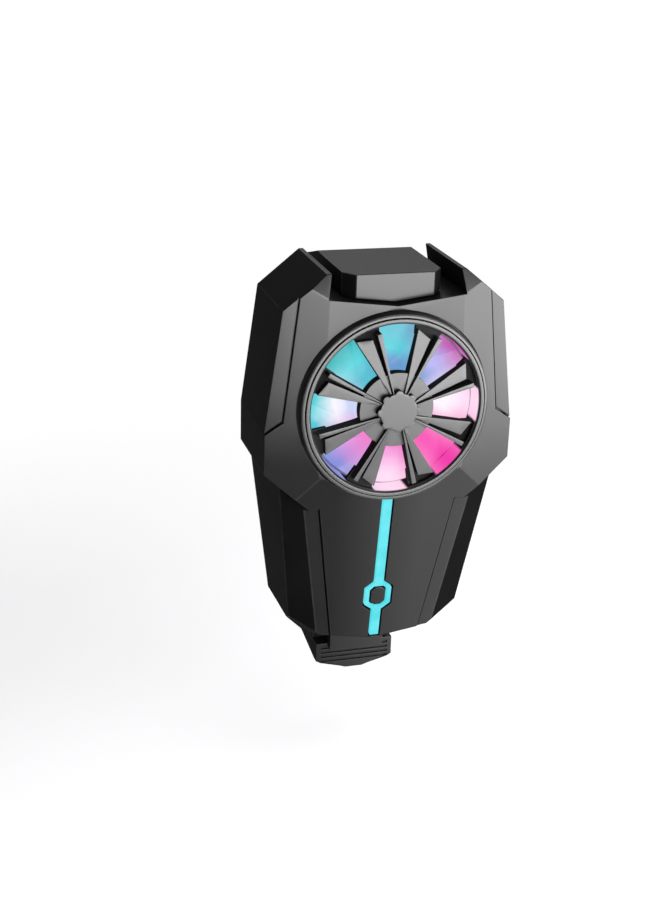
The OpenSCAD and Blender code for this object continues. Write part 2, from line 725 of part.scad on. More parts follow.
// The hook stands in the notch and claws over the phone's upper edge
module notch_floor(g) {
    polygon([[-notch_x, notch_z + g], [0, vee_z + g], [notch_x, notch_z + g], [notch_x, 0], [-notch_x, 0]]);
}
module upper_hook() {
    behind = body_d + stop_gap;
    under = phone_top_z + lining_t;
    claw_top = hook_z - 0.28 * (lip_out_d - body_d);
    color("#303032") placed() difference() {
        intersection() {
            across(hook_w) polygon([[hook_d, vee_z], [behind, vee_z], [behind, under], [lip_in_d, under],
                [lip_in_d, under - lip_reach], [lip_out_d, under - lip_reach], [lip_out_d, claw_top],
                [body_d, hook_z], [hook_d, hook_z]]);
            linear_extrude(far, center = true) polygon([[-hook_w, lip_out_d], [hook_w, lip_out_d],
                [hook_w, hook_d + 2.6], [hook_x, hook_d], [-hook_x, hook_d], [-hook_w, hook_d + 2.6]]);
        }
        slab(-1, behind) notch_floor(fit);
        both_sides() translate([hook_screw_x, hook_screw_d, 0])
            cylinder(r = screw_r + 0.03, h = hook_z - 1.2);
    }
}
module hook_lining() {
    under = phone_top_z + lining_t;
    color("#454548") placed() across(hook_w - 1) polygon([[seat_d + 0.3, under],
        [seat_d + 0.3, phone_top_z],
        [lip_in_d - lining_t, phone_top_z], [lip_in_d - lining_t, under - lip_reach + 0.8],
        [lip_in_d, under - lip_reach + 0.8], [lip_in_d, under]]);
}
module hook_screws() {
    head_z = vee_z - wall + (notch_z - vee_z) * (hook_screw_x - head_r) / notch_x - 0.1;
    color("silver") placed() both_sides() translate([hook_screw_x, hook_screw_d, head_z]) {
        translate([0, 0, -head_h]) cylinder(r = head_r, h = head_h);
        cylinder(r = screw_r, h = hook_z - 1.8 - head_z);
    }
}

// The jaw slides on two fixed rods: tongue and arms inside, shelf, lip and finger grip outside
module lower_jaw() {
    grip_low = grip_z - grip_h;
    grip_d = tongue_d + grip_back;
    arm_low_z = arm_top_z - arm_h;
    color("#303032") placed() difference() {
        union() {
            translate([-tongue_x, tongue_d, grip_z - 1])
                cube([2 * tongue_x, tongue_t, arm_top_z - grip_z + 1]);
            translate([-rod_x - arm_r, tongue_d - 0.6, arm_low_z])
                cube([2 * (rod_x + arm_r), tongue_t + 0.6, arm_h]);
            both_sides() {
                translate([rod_x, rod_d, arm_low_z]) cylinder(r = arm_r, h = arm_h);
                translate([rod_x - 1.5, rod_d, arm_low_z]) cube([3, tongue_d - rod_d, arm_h]);
            }
            across(jaw_x) polygon([[grip_d, grip_z], [body_d + jaw_gap, grip_z],
                [body_d + jaw_gap, shelf_z], [lip_in_d, shelf_z], [lip_in_d, shelf_z + lip_reach],
                [lip_out_d, shelf_z + lip_reach], [lip_out_d, grip_low + 2], [body_d, grip_low],
                [grip_d, grip_low]]);
            slab(grip_d, body_d)
                polygon(mirrored([[jaw_x, grip_low + eps], [1.7, grip_low - grip_vee]]));
        }
        both_sides() translate([rod_x, rod_d, arm_low_z - 1])
            cylinder(r = rod_r + run + 0.03, h = arm_h + 2);
        translate([2 - jaw_x, body_d + 2, grip_low - 1])
            cube([2 * jaw_x - 4, lip_in_d - body_d - 3, shelf_z - 2.4 - grip_low + 1]);
        for (i = [0:3]) translate([1 - jaw_x, grip_d - 1, grip_z - 1.3 - i])
            cube([2 * jaw_x - 2, 1.35, 0.45]);
    }
}
module jaw_lining() {
    color("#454548") placed() across(jaw_x - 0.8) polygon([[seat_d + 0.3, shelf_z],
        [seat_d + 0.3, phone_low_z],
        [lip_in_d - lining_t, phone_low_z], [lip_in_d - lining_t, shelf_z + lip_reach - 0.8],
        [lip_in_d, shelf_z + lip_reach - 0.8], [lip_in_d, shelf_z]]);
}
module guide_rods() {
    color("#c8ccd0") placed() both_sides() translate([rod_x, rod_d, spring_foot_z - ear_t])
        cylinder(r = rod_r, h = ear_top_z - spring_foot_z + ear_t);
}

// A spring is one wire swept along a helix
wire_steps = 8 * coil_n;
wire_sides = 6;
spring_h = spring_top_z - spring_foot_z - 2 * wire_r - 0.1;
function wire_at(i) = let (a = 360 * i / 8)
    [coil_r * cos(a), coil_r * sin(a), wire_r + 0.05 + spring_h * i / wire_steps];
function wire_ring(i) = let (a = 360 * i / 8, out = [cos(a), sin(a), 0], up = [0, 0, 1])
    [for (j = [0:wire_sides - 1]) let (b = 360 * j / wire_sides)
        wire_at(i) + wire_r * (out * cos(b) + up * sin(b))];
coil_gap = spring_h / coil_n - 2 * wire_r;
echo(least_gap_between_turns = coil_gap);
module spring() {
    n = wire_sides;
    points = [for (i = [0:wire_steps]) each wire_ring(i)];
    sides = [for (i = [0:wire_steps - 1], j = [0:n - 1]) let (k = (j + 1) % n)
        each [[i * n + j, i * n + k, (i + 1) * n + j], [i * n + k, (i + 1) * n + k, (i + 1) * n + j]]];
    last = wire_steps * n;
    caps = [for (j = [1:n - 2]) each [[0, j + 1, j], [last, last + j, last + j + 1]]];
    polyhedron(points, concat(sides, caps));
}
module jaw_springs() {
    color("#aeb3b8") placed() both_sides() translate([rod_x, rod_d, spring_foot_z]) spring();
}
module case_screws() {
    slot_l = 1.2 * head_r;
    slot_w = 0.28 * head_r;
    color("silver") placed() for (p = screw_at) at(p) difference() {
        union() {
            drum(head_r, body_d - head_h, body_d);
            drum(screw_r, cover_d - screw_l, body_d - head_h + eps);
        }
        for (a = [0, 90]) spun(a + 20) translate([-slot_l / 2, body_d - 0.6 * head_h, -slot_w / 2])
            cube([slot_l, head_h, slot_w]);
    }
}

front_cover();
fan_grille();
light_duct();
fan_blades();
rotor_yoke();
magnet_ring();
fan_shaft();
shaft_clip();
bearing_bush();
stator_core();
stator_windings();
motor_board();
rgb_leds();
rear_cover();
seat_pads();
power_board();
power_socket();
light_strip();
strip_board();
strip_leds();
upper_hook();
hook_lining();
hook_screws();
lower_jaw();
jaw_lining();
guide_rods();
jaw_springs();
case_screws();
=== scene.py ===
import math

import bmesh
import bpy
from mathutils import Matrix, Vector


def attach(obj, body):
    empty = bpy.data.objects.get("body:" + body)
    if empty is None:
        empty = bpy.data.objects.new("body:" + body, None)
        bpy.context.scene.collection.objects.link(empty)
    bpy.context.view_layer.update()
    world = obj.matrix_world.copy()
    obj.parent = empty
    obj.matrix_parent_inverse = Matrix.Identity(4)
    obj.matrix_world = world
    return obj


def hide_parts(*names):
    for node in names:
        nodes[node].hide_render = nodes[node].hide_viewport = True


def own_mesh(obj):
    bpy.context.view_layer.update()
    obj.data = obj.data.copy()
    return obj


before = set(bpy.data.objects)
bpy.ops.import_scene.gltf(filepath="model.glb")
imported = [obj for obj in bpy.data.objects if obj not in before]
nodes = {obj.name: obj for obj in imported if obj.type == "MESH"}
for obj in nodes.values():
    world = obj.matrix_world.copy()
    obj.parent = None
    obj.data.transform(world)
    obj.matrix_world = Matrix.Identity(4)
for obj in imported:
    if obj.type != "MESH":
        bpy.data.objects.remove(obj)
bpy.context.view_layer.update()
mm = 0.001
white = (1, 1, 1, 1)
bpy.context.scene.view_settings.view_transform = "Standard"
print("frame loaded:", len(nodes), "nodes")


# camera, floor and light

viewSpec = {
    "azimuth": -16.657, "elevation": 21.298, "roll": 1.751,  # degrees
    "place": (-0.08238, -0.26165, 0.08838), "clipStart": 0.005,  # m
    "focalPixels": 1475.0, "imageSize": (669, 913), "sensor": 36,
}


def aimCamera(spec):
    az, el, roll = (math.radians(spec[k]) for k in ("azimuth", "elevation", "roll"))
    back = Vector((math.sin(az) * math.cos(el), -math.cos(az) * math.cos(el), math.sin(el)))
    right = Vector((math.cos(az), math.sin(az), 0))
    up = back.cross(right)
    tiltedRight = right * math.cos(roll) + up * math.sin(roll)
    tiltedUp = up * math.cos(roll) - right * math.sin(roll)
    data = bpy.data.cameras.new("photoCamera")
    data.sensor_width = spec["sensor"]
    data.lens = spec["sensor"] * spec["focalPixels"] / max(spec["imageSize"])
    data.clip_start = spec["clipStart"]
    camera = newObject("photoCamera", data)
    turn = Matrix((tiltedRight, tiltedUp, back)).transposed()
    camera.matrix_world = Matrix.Translation(spec["place"]) @ turn.to_4x4()
    bpy.context.scene.camera = camera


stageSpec = {
    "floorZ": -0.0835, "floorRadius": 0.235, "fade": (0.10, 0.21),  # m
    "floorTint": (0.92, 0.92, 0.93), "floorRough": 0.9, "ambient": 0.17,
}

lampSpec = {
    "keyPanel": {
        "place": (0.146, -0.20, -0.012), "aim": (0, -0.02, 0.0), "size": (0.60, 0.135), "power": 2.85,
    },
    "hookPanel": {
        "place": (0.12, 0.40, 0.22), "aim": (0, 0.0, 0.02), "size": (0.30, 0.15), "power": 0.7,
    },
}
skySpec = {"aim": (-0.25, 0.35, -1.0), "softness": 75.0, "strength": 1.3}


def newObject(name, data):
    obj = bpy.data.objects.new(name, data)
    bpy.context.scene.collection.objects.link(obj)
    return obj


def floorPaper(spec):
    # towards its edge the floor passes into the white behind it
    mat, tree, shader = freshMaterial("floorPaper")
    _, reach = flattened(tree, objectCoords(tree), "X", "Y")
    edge = ranged(tree, reach, 0.0, 1.0, *spec["fade"])
    paper = blendColours(tree, edge, spec["floorTint"], (0.0, 0.0, 0.0))
    tree.links.new(paper, shader.inputs["Base Color"])
    tree.links.new(edge, shader.inputs["Emission Strength"])
    shader.inputs["Emission Color"].default_value = white
    shader.inputs["Roughness"].default_value = spec["floorRough"]
    shader.inputs["Specular IOR Level"].default_value = 0.0
    return mat


def setStage(spec):
    bm = bmesh.new()
    bmesh.ops.create_circle(bm, cap_ends=True, radius=spec["floorRadius"], segments=64)
    bmesh.ops.translate(bm, verts=bm.verts, vec=(0, 0, spec["floorZ"]))
    mesh = bpy.data.meshes.new("floor")
    bm.to_mesh(mesh)
    bm.free()
    mesh.materials.append(floorPaper(spec))
    newObject("floor", mesh)
    world = bpy.data.worlds.new("studio")
    bpy.context.scene.world = world
    world.use_nodes = True
    tree = world.node_tree
    ground = tree.nodes["Background"]
    ground.inputs["Color"].default_value = white
    ray = tree.nodes.new("ShaderNodeLightPath").outputs
    seen = maths(tree, "MAXIMUM", ray["Is Camera Ray"], ray["Is Glossy Ray"])
    seen = maths(tree, "MAXIMUM", seen, ray["Is Transmission Ray"])
    tree.links.new(ranged(tree, seen, spec["ambient"], 1.0, 0.0, 1.0), ground.inputs["Strength"])


def aimedAlong(direction):
    return Vector(direction).to_track_quat("-Z", "Y").to_euler()


def hangLamps(spec, sky):
    for name, s in spec.items():
        data = bpy.data.lights.new(name, "AREA")
        data.shape = "RECTANGLE"
        data.size, data.size_y = s["size"]
        data.energy = s["power"]
        lamp = newObject(name, data)
        lamp.location = s["place"]
        lamp.rotation_euler = aimedAlong(Vector(s["aim"]) - Vector(s["place"]))
        lamp.visible_camera = False
    data = bpy.data.lights.new("skyLight", "SUN")
    data.angle = math.radians(sky["softness"])
    data.energy = sky["strength"]
    newObject("skyLight", data).rotation_euler = aimedAlong(sky["aim"])


# materials

def freshMaterial(name):
    mat = bpy.data.materials.new(name)
    mat.use_nodes = True
    tree = mat.node_tree
    return mat, tree, tree.nodes["Principled BSDF"]


def objectCoords(tree):
    return tree.nodes.new("ShaderNodeTexCoord").outputs["Object"]


def noise(tree, where, scale, detail=3.0, rough=0.55):
    n = tree.nodes.new("ShaderNodeTexNoise")
    n.inputs["Scale"].default_value = scale
    n.inputs["Detail"].default_value = detail
    n.inputs["Roughness"].default_value = rough
    tree.links.new(where, n.inputs["Vector"])
    return n.outputs["Fac"]


def ranged(tree, value, low, high, fromLow=0.3, fromHigh=0.7):
    r = tree.nodes.new("ShaderNodeMapRange")
    r.inputs["From Min"].default_value = fromLow
    r.inputs["From Max"].default_value = fromHigh
    r.inputs["To Min"].default_value = low
    r.inputs["To Max"].default_value = high
    tree.links.new(value, r.inputs["Value"])
    return r.outputs[0]


def maths(tree, kind, a, b):
    m = tree.nodes.new("ShaderNodeMath")
    m.operation = kind
    for socket, v in zip(m.inputs, (a, b)):
        if isinstance(v, (int, float)):
            socket.default_value = v
        else:
            tree.links.new(v, socket)
    return m.outputs[0]


def product(tree, first, *others):
    for v in others:
        first = maths(tree, "MULTIPLY", first, v)
    return first


def axes(tree, vector):
    split = tree.nodes.new("ShaderNodeSeparateXYZ")
    tree.links.new(vector, split.inputs[0])
    return split.outputs


def flattened(tree, vector, first, second):
    # two axes of a vector as a flat one, and its length
    parts = axes(tree, vector)
    flat = tree.nodes.new("ShaderNodeCombineXYZ")
    tree.links.new(parts[first], flat.inputs["X"])
    tree.links.new(parts[second], flat.inputs["Y"])
    span = tree.nodes.new("ShaderNodeVectorMath")
    span.operation = "LENGTH"
    tree.links.new(flat.outputs[0], span.inputs[0])
    return flat.outputs[0], span.outputs["Value"]


def acrossAxis(tree, vector):
    # what of a vector is square to the fan axis
    return flattened(tree, vector, "X", "Z")


def blendColours(tree, amount, a, b):
    m = tree.nodes.new("ShaderNodeMix")
    m.data_type = "RGBA"
    tree.links.new(amount, m.inputs["Factor"])
    for socket, v in ((m.inputs[6], a), (m.inputs[7], b)):  # the node's two colour sockets
        if isinstance(v, tuple):
            socket.default_value = (*v, 1)
        else:
            tree.links.new(v, socket)
    return m.outputs[2]


def bumped(tree, shader, height, strength, distance):
    b = tree.nodes.new("ShaderNodeBump")
    b.inputs["Strength"].default_value = strength
    b.inputs["Distance"].default_value = distance
    tree.links.new(height, b.inputs["Height"])
    tree.links.new(b.outputs["Normal"], shader.inputs["Normal"])


# the light of the fan: chips of eight colours round the circle, counted from nine o'clock downwards,
# and the paler mix that they give nearer the hub
glowSpec = {
    "tints": {
        "cyan": (0.07, 0.62, 0.68), "teal": (0.02, 0.45, 0.46), "aqua": (0.10, 0.52, 0.64),
        "ice": (0.60, 0.66, 0.92), "white": (0.96, 0.90, 0.98), "blush": (1.00, 0.70, 0.88),
        "pink": (0.88, 0.22, 0.62), "hotPink": (0.90, 0.05, 0.42), "orchid": (0.50, 0.08, 0.42),
        "violet": (0.22, 0.26, 0.70), "lilac": (0.62, 0.26, 0.68), "slate": (0.14, 0.32, 0.62),
        "rose": (0.92, 0.42, 0.76), "haze": (0.42, 0.42, 0.84),
    },
    "rim": ["cyan", "violet", "blush", "hotPink", "blush", "orchid", "aqua", "teal"],
    "middle": ["white", "lilac", "rose", "hotPink", "white", "haze", "cyan", "cyan"],
    "hub": ["ice", "pink", "pink", "hotPink", "blush", "slate", "slate", "aqua"],
    "radii": (8.0, 10.8, 14.2), "waverScale": 130.0, "waver": 1.2,  # mm
}

# where the fan lights the throat wall: depth, distance from its radius, turn inward, part of a window
throatSpec = {
    "depth": (-24.2, -23.9), "inside": (-0.3, -0.1), "outside": (0.4, 0.5),  # mm
    "inward": (-0.9, -0.7), "windowLead": -0.003, "windowEdge": (-0.15, 0.1),
}


def inMm(pair, start=0.0):
    return [(start + p) * mm for p in pair]


def sweepOf(tree, flat):
    sweep = tree.nodes.new("ShaderNodeTexGradient")
    sweep.gradient_type = "RADIAL"
    tree.links.new(flat, sweep.inputs["Vector"])
    return sweep.outputs["Fac"]


def roundTheCircle(tree, sweep, tints, names):
    ramp = tree.nodes.new("ShaderNodeValToRGB")
    ramp.color_ramp.interpolation = "EASE"
    stops = ramp.color_ramp.elements
    turn = names + names[:1]
    while len(stops) < len(turn):
        stops.new(0.5)
    for i, (stop, name) in enumerate(zip(stops, turn)):
        stop.position = i / len(names)
        stop.color = (*tints[name], 1)
    tree.links.new(sweep, ramp.inputs["Fac"])
    return ramp.outputs["Color"]


def fanGlow(tree, where, spec):
    flat, span = acrossAxis(tree, where)
    sweep = sweepOf(tree, flat)
    waver = spec["waver"] * mm
    wavy = maths(tree, "ADD", span, ranged(tree, noise(tree, where, spec["waverScale"]), -waver, waver))
    near, mid, far = inMm(spec["radii"])
    hub, middle, rim = (roundTheCircle(tree, sweep, spec["tints"], spec[k])
                        for k in ("hub", "middle", "rim"))
    glow = blendColours(tree, ranged(tree, wavy, 0.0, 1.0, near, mid), hub, middle)
    return blendColours(tree, ranged(tree, wavy, 0.0, 1.0, mid, far), glow, rim)


def throatLight(tree, coords, spec, throat, windows):
    # strength of the fan's light on the throat wall behind the front, between the spokes
    where = coords.outputs["Object"]
    flat, span = acrossAxis(tree, where)
    normal, _ = acrossAxis(tree, coords.outputs["Normal"])
    turned = tree.nodes.new("ShaderNodeVectorMath")
    turned.operation = "DOT_PRODUCT"
    tree.links.new(flat, turned.inputs[0])
    tree.links.new(normal, turned.inputs[1])
    inward = ranged(tree, maths(tree, "DIVIDE", turned.outputs["Value"], span), 1.0, 0.0, *spec["inward"])
    deep = ranged(tree, axes(tree, where)["Y"], 0.0, 1.0, *inMm(spec["depth"]))
    past = ranged(tree, span, 0.0, 1.0, *inMm(spec["inside"], throat))
    within = ranged(tree, span, 1.0, 0.0, *inMm(spec["outside"], throat))
    turn = maths(tree, "SUBTRACT", sweepOf(tree, flat), spec["windowLead"])
    wave = maths(tree, "COSINE", product(tree, turn, math.tau * windows), 0.0)
    gap = ranged(tree, wave, 0.0, 1.0, *spec["windowEdge"])
    return product(tree, inward, deep, past, within, gap)


lacquerSpec = {
    "forward": (-0.925, -0.965), "upward": (0.8, 0.95), "backward": (0.75, 0.95),  # turns of a face
    # spans of the painted shade at the lower left, and of the painted shade behind the shelf edge
    "shadeBelow": (4.0, -10.0), "shadeLeft": (7.0, -10.0), "shelfEdge": (-0.1, 0.1),  # mm
    "backTint": (0.022, 0.022, 0.0235), "cloudTint": 1.8, "cloudScale": 60.0,
    "wearScale": 420.0, "grainScale": 5200.0, "grainDeep": 0.000012,
    "sideRough": 0.78, "frontRough": 0.52, "lacquerRough": 0.30, "lacquerIor": 1.4, "sheen": 0.02,
}


def lacqueredShell(name, side, front, edge, crown=0.0, shelf=None, throat=None, lowerLeftShade=0.0, spec=lacquerSpec):
    # black moulding with fine grain; what faces forward carries a satin lacquer and a lighter tint (painted
    # light), the sides a darker tint (painted shade), faces turned back a lighter tint (painted light);
    # edges are painted lighter, part rubbing, part painted highlight;
    # crown: share of lacquer on what faces up; shelf: what lies further back than this is painted dark and
    # left without lacquer, painted shade in the recesses;
    # throat: radius of the wall that the fan lights; the lower-left share: painted shade towards the lower
    # left, where the lighter front tint and the lacquer fade out
    mat, tree, shader = freshMaterial(name)
    coords = tree.nodes.new("ShaderNodeTexCoord")
    where = coords.outputs["Object"]
    facing = axes(tree, coords.outputs["Normal"])
    place = axes(tree, where)
    # forward faces get the lacquer and, as painted light, the lighter front tint
    forward = ranged(tree, facing["Y"], 0.0, 1.0, *spec["forward"])
    # painted shade in the recesses: what lies behind the shelf edge keeps the dark side tint and no lacquer
    if shelf is not None:
        raised = ranged(tree, place["Y"], 1.0, 0.0, *inMm(spec["shelfEdge"], shelf))
        forward = product(tree, forward, raised)
    # painted shade: towards the lower left the lighter front tint and the lacquer fade out
    if lowerLeftShade:
        below = ranged(tree, place["Z"], 0.0, 1.0, *inMm(spec["shadeBelow"]))
        left = ranged(tree, place["X"], 0.0, lowerLeftShade, *inMm(spec["shadeLeft"]))
        forward = product(tree, forward, maths(tree, "SUBTRACT", 1.0, product(tree, below, left)))
    if throat is not None:
        lit = throatLight(tree, coords, throatSpec, throat, len(glowSpec["rim"]))
        tree.links.new(fanGlow(tree, where, glowSpec), shader.inputs["Emission Color"])
        tree.links.new(lit, shader.inputs["Emission Strength"])
    clouds = noise(tree, where, spec["cloudScale"], 4.0)
    fine = noise(tree, where, spec["grainScale"], 2.0)
    # painted light and shade: forward faces take the lighter front tint, the rest the darker side tint
    base = blendColours(tree, forward, side, front)
    # painted light: faces turned back take the lighter back tint
    backward = ranged(tree, facing["Y"], 0.0, 1.0, *spec["backward"])
    base = blendColours(tree, backward, base, spec["backTint"])
    cloudy = tuple(c * spec["cloudTint"] for c in front)
    base = blendColours(tree, ranged(tree, clouds, 0.0, 0.3), base, cloudy)
    # bevel faces are painted lighter: part rubbing, part painted highlight
    scuffLitAttribute = tree.nodes.new("ShaderNodeAttribute")
    scuffLitAttribute.attribute_name = "edgeScuffAndHighlight"
    patches = ranged(tree, noise(tree, where, spec["wearScale"]), 0.35, 1.0)
    scuffedAndLit = product(tree, scuffLitAttribute.outputs["Fac"], patches)
    tree.links.new(blendColours(tree, scuffedAndLit, base, edge), shader.inputs["Base Color"])
    rough = ranged(tree, forward, spec["sideRough"], spec["frontRough"], 0.0, 1.0)
    rough = maths(tree, "ADD", rough, ranged(tree, clouds, -0.03, 0.04))
    rough = maths(tree, "ADD", rough, product(tree, scuffedAndLit, -0.12))
    tree.links.new(maths(tree, "ADD", rough, ranged(tree, fine, -0.03, 0.03)), shader.inputs["Roughness"])
    upward = ranged(tree, facing["Z"], 0.0, crown, *spec["upward"])
    tree.links.new(maths(tree, "MAXIMUM", forward, upward), shader.inputs["Coat Weight"])
    shader.inputs["Coat Roughness"].default_value = spec["lacquerRough"]
    shader.inputs["Coat IOR"].default_value = spec["lacquerIor"]
    shader.inputs["Specular IOR Level"].default_value = spec["sheen"]
    bumped(tree, shader, fine, 0.25, spec["grainDeep"])
    return mat


def brushedMetal(name, tint, roughness, stretch=(1, 1, 1), scale=2600.0):
    mat, tree, shader = freshMaterial(name)
    turn = tree.nodes.new("ShaderNodeMapping")
    turn.inputs["Scale"].default_value = stretch
    where = objectCoords(tree)
    tree.links.new(where, turn.inputs["Vector"])
    streaks = noise(tree, turn.outputs[0], scale, 3.0)
    stains = noise(tree, where, 180.0, 3.0)
    darker = tuple(c * 0.72 for c in tint)
    stained = blendColours(tree, ranged(tree, stains, 0.0, 1.0), tint, darker)
    tree.links.new(stained, shader.inputs["Base Color"])
    tree.links.new(ranged(tree, streaks, roughness - 0.06, roughness + 0.1), shader.inputs["Roughness"])
    shader.inputs["Metallic"].default_value = 1.0
    bumped(tree, shader, streaks, 0.15, 0.000006)
    return mat


def mattSkin(name, tint, pore, poreDepth, roughness=0.74, gloss=0.3):
    # rubber and sintered or bonded matter: dusty, with pores
    mat, tree, shader = freshMaterial(name)
    where = objectCoords(tree)
    dust = noise(tree, where, 240.0, 5.0)
    pores = noise(tree, where, pore, 3.0)
    paler = tuple(c * 1.7 + 0.004 for c in tint)
    dusty = blendColours(tree, ranged(tree, dust, 0.0, 1.0, 0.35, 0.75), tint, paler)
    tree.links.new(dusty, shader.inputs["Base Color"])
    tree.links.new(ranged(tree, dust, roughness - 0.08, roughness + 0.1), shader.inputs["Roughness"])
    shader.inputs["Specular IOR Level"].default_value = gloss
    bumped(tree, shader, pores, 0.35, poreDepth)
    return mat


def circuitBoard(name, tint, trackTint):
    mat, tree, shader = freshMaterial(name)
    where = objectCoords(tree)
    cells = tree.nodes.new("ShaderNodeTexVoronoi")
    cells.distance = "MANHATTAN"
    cells.inputs["Scale"].default_value = 900.0
    tree.links.new(where, cells.inputs["Vector"])
    track = ranged(tree, cells.outputs["Distance"], 0.0, 1.0, 0.42, 0.5)
    tree.links.new(blendColours(tree, track, tint, trackTint), shader.inputs["Base Color"])
    tree.links.new(ranged(tree, noise(tree, where, 700.0), 0.28, 0.4), shader.inputs["Roughness"])
    bumped(tree, shader, track, 0.3, 0.00003)
    return mat


def litPlastic(name, spec, power):
    mat, tree, shader = freshMaterial(name)
    where = objectCoords(tree)
    tree.links.new(fanGlow(tree, where, spec), shader.inputs["Emission Color"])
    shader.inputs["Base Color"].default_value = (0.008, 0.008, 0.01, 1)
    shader.inputs["Specular IOR Level"].default_value = 0.12
    shader.inputs["Emission Strength"].default_value = power
    tree.links.new(ranged(tree, noise(tree, where, 900.0), 0.3, 0.42), shader.inputs["Roughness"])
    return mat


def stripGlow(name, tint, paleTint, power):
    mat, tree, shader = freshMaterial(name)
    where = objectCoords(tree)
    glow = blendColours(tree, ranged(tree, noise(tree, where, 320.0, 2.0), 0.0, 1.0), tint, paleTint)
    tree.links.new(glow, shader.inputs["Emission Color"])
    shader.inputs["Base Color"].default_value = (0.005, 0.02, 0.0225, 1)
    shader.inputs["Specular IOR Level"].default_value = 0.15
    shader.inputs["Emission Strength"].default_value = power
    tree.links.new(ranged(tree, noise(tree, where, 2400.0), 0.35, 0.5), shader.inputs["Roughness"])
    return mat


aimCamera(viewSpec)
setStage(stageSpec)
hangLamps(lampSpec, skySpec)
print("camera, floor and lamps set")

finish = {
    # side and front tints: painted shade and painted light on one black; edge tint: lighter rims, part
    # rubbing and part painted highlight; 0.7 at the end: share of painted shade at the lower left
    "body": lacqueredShell(
        "shellBlack", side=(0.0016, 0.0016, 0.0018), front=(0.0045, 0.0045, 0.0047),
        edge=(0.014, 0.014, 0.0145), crown=0.1, lowerLeftShade=0.7),
    "grille": lacqueredShell(
        "grilleBlack", side=(0.003, 0.003, 0.0033), front=(0.046, 0.046, 0.046),
        edge=(0.066, 0.066, 0.067), shelf=-23.7, throat=15.9),
    "clamp": lacqueredShell(
        "clampBlack", side=(0.0030, 0.0030, 0.0032), front=(0.007, 0.007, 0.0073),
        edge=(0.020, 0.020, 0.0205), crown=0.1, lowerLeftShade=0.7),
    "rubber": mattSkin("padRubber", (0.030, 0.030, 0.032), 3800.0, 0.00002),
    "ferrite": mattSkin("ferrite", (0.05, 0.046, 0.042), 5200.0, 0.00001, 0.6, 0.4),
    "steel": brushedMetal("plainSteel", (0.60, 0.61, 0.63), 0.3, (1, 0.1, 1)),
    "rod": brushedMetal("groundRod", (0.66, 0.67, 0.69), 0.2, (1, 1, 0.08)),
    "socket": brushedMetal("socketShell", (0.62, 0.63, 0.66), 0.26, (0.1, 1, 1)),
    "brass": brushedMetal("bushBrass", (0.66, 0.48, 0.22), 0.35),
    "copper": brushedMetal("coilCopper", (0.62, 0.27, 0.11), 0.34, (0.1, 1, 0.1), 5200.0),
    "board": circuitBoard("greenBoard", (0.012, 0.075, 0.03), (0.02, 0.13, 0.05)),
    "glow": litPlastic("litBlade", glowSpec, 1.0),
    "duct": litPlastic("litDuct", glowSpec, 0.3),
    "strip": stripGlow("stripGlow", (0.07, 0.67, 0.75), (0.14, 0.78, 0.85), 1.0),
    "chip": stripGlow("chipGlow", (0.75, 0.9, 1.0), (1.0, 1.0, 1.0), 0.8),
}
print("finishes mixed:", len(finish))


# helpers for the pieces

def dress(bm, name, finishName, body, node=None, smoothAngle=35):
    for f in bm.faces:
        f.smooth = True
    mesh = bpy.data.meshes.new(name)
    bm.to_mesh(mesh)
    bm.free()
    if smoothAngle:
        mesh.set_sharp_from_angle(angle=math.radians(smoothAngle))
    mesh.materials.append(finish[finishName])
    piece = newObject(name, mesh)
    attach(piece, body)
    if node:
        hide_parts(node)
    return piece


def nodeBox(node):
    # lowest and highest corner of a solid at rest, in mm
    points = [v.co / mm for v in nodes[node].data.vertices]
    return [Vector([pick(p[i] for p in points) for i in range(3)]) for pick in (min, max)]


def joinInto(whole, part):
    mesh = bpy.data.meshes.new("joinedPart")
    part.to_mesh(mesh)
    part.free()
    whole.from_mesh(mesh)
    bpy.data.meshes.remove(mesh)


def unique(items):
    return list(dict.fromkeys(items))


def sharpEdges(bm, angle):
    return [e for e in bm.edges if len(e.link_faces) == 2 and e.is_convex
            and e.calc_face_angle() > math.radians(angle)]


def runsAlong(edge, axis):
    return abs((edge.verts[0].co - edge.verts[1].co).normalized()[axis]) > 0.9


def bevelled(bm, edges, width, segments):
    return bmesh.ops.bevel(bm, geom=edges, offset=width * mm, affect="EDGES",
                           segments=segments, profile=0.5, material=-1)


def boxOf(bm, middle, size):
    place = Matrix.Translation(Vector(middle) * mm) @ Matrix.Diagonal((*(s * mm for s in size), 1))
    box = bmesh.ops.create_cube(bm, size=1, matrix=place)
    return unique(e for v in box["verts"] for e in v.link_edges)


# copies of the solids with rounded edges, marked for rubbing and a painted highlight

roundSpec = {
    "front_cover": {
        "piece": "bodyShell", "finish": "body", "slot": "body_plastic", "body": "body", "round": 0.16,
    },
    "rear_cover": {
        "piece": "backPlate", "finish": "body", "slot": "body_plastic", "body": "body", "round": 0.12,
    },
    "fan_grille": {
        "piece": "turbineGrille", "finish": "grille", "slot": "grille_plastic",
        "body": "body", "round": 0.09,
    },
    "upper_hook": {
        "piece": "hookArm", "finish": "clamp", "slot": "clamp_plastic", "body": "body", "round": 0.2,
    },
    "lower_jaw": {
        "piece": "jawSlide", "finish": "clamp", "slot": "clamp_plastic", "body": "jaw", "round": 0.12,
    },
    "light_strip": {
        "piece": "stripLens", "finish": "strip", "slot": "strip_plastic", "body": "body", "round": 0.06,
    },
    "power_socket": {
        "piece": "socketShell", "finish": "socket", "slot": "socket_steel", "body": "body", "round": 0.06,
    },
    "case_screws": {
        "piece": "caseScrews", "finish": "steel", "slot": "steel", "body": "body", "round": 0.06,
    },
}
edgeRule = {"roundFrom": 9, "smoothOutside": 36, "smoothInside": 9, "merge": 2e-6}  # degrees, m


